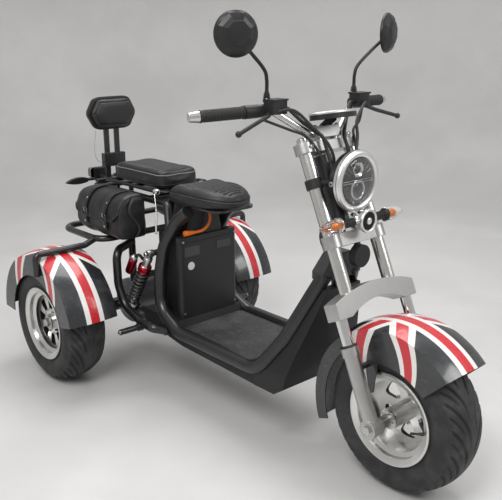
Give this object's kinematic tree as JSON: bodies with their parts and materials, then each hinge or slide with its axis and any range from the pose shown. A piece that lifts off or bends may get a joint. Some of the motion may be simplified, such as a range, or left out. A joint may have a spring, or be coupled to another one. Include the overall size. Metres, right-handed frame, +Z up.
{
  "type": "electric tricycle",
  "caption": "Fat-tyre electric tricycle with step-through deck, raked fork, driver and passenger seats, backrest, saddlebags and flag-striped fenders; wheels spin and the fork steers",
  "frame": {"origin": "on the ground under the middle of the vehicle", "axes": "+X forward, +Y the rider's left, +Z up"},
  "size_m": [1.9042, 1.0166, 1.346],
  "materials": {
    "black_paint": "gloss black paint",
    "striped_paint": "gloss black with red and white stripes",
    "tyre": "matt",
    "chrome": "polished",
    "silver": "satin",
    "tube_black": "satin black",
    "steel": "ground",
    "black_plastic": "moulded",
    "shock": "red and black",
    "motor": "cast",
    "seat": "black leathercloth",
    "grip": "ribbed",
    "lens_clear": "clear",
    "lens_orange": "amber",
    "lens_red": "red",
    "wire_grey": "grey sheath",
    "lead_orange": "orange sheath"
  },
  "bodies": {
    "chassis": {"deck_tray": "black_paint", "deck_mat": "black_plastic", "leg_fairing": "black_paint", "battery_box": "black_plastic", "seat_pan": "black_paint", "driver_seat": "seat", "passenger_seat": "seat", "seat_rail": "chrome", "rear_frame": "black_paint", "rear_loop": "black_paint", "guard_tubes": "black_paint", "rear_fender_right": "striped_paint", "rear_fender_left": "striped_paint", "rear_axle": "black_paint", "drive_motor": "motor", "shocks": "shock", "backrest_posts": "black_paint", "backrest_shell": "black_plastic", "backrest_pad": "seat", "saddlebag_right": "seat", "saddlebag_left": "seat", "lamp_bracket": "black_paint", "tail_lamp": "lens_red", "rear_signals": "lens_orange", "head_tube": "black_paint", "rail_right": "black_paint", "rail_left": "black_paint", "battery_lead": "lead_orange", "lead_plug": "black_plastic", "back_wire": "wire_grey"},
    "steering": {"fork_legs": "black_paint", "front_axle": "silver", "fork_stanchions": "chrome", "fork_brace": "black_paint", "fork_tubes": "tube_black", "fork_clamps": "silver", "front_fender": "striped_paint", "handlebar": "black_paint", "grips": "grip", "bar_clamp": "silver", "controls": "black_plastic", "mirrors": "black_plastic", "display": "black_plastic", "headlight": "black_paint", "headlight_lens": "lens_clear", "horn": "silver", "front_signals": "lens_orange", "sounder": "black_paint", "brake_caliper": "motor", "cable_looms": "black_plastic"},
    "front_wheel": {"front_tyre": "tyre", "front_rim": "black_paint", "brake_disc": "steel"},
    "rear_wheel_right": {"rear_tyre_right": "tyre", "rear_rim_right": "black_paint"},
    "rear_wheel_left": {"rear_tyre_left": "tyre", "rear_rim_left": "black_paint"}
  },
  "joints": [
    {"name": "steer", "type": "hinge", "parent": "chassis", "child": "steering", "pos_m": [0.42173, 0, 0.8187], "axis": [-0.4067, 0, 0.9135], "range_deg": [-35, 35]},
    {"name": "front_wheel_spin", "type": "hinge", "parent": "steering", "child": "front_wheel", "pos_m": [0.72215, 0, 0.23], "axis": [0, 1, 0], "continuous": true},
    {"name": "rear_wheel_right_spin", "type": "hinge", "parent": "chassis", "child": "rear_wheel_right", "pos_m": [-0.62285, -0.387, 0.23], "axis": [0, 1, 0], "continuous": true},
    {"name": "rear_wheel_left_spin", "type": "hinge", "parent": "chassis", "child": "rear_wheel_left", "pos_m": [-0.62285, 0.387, 0.23], "axis": [0, 1, 0], "continuous": true}
  ]
}
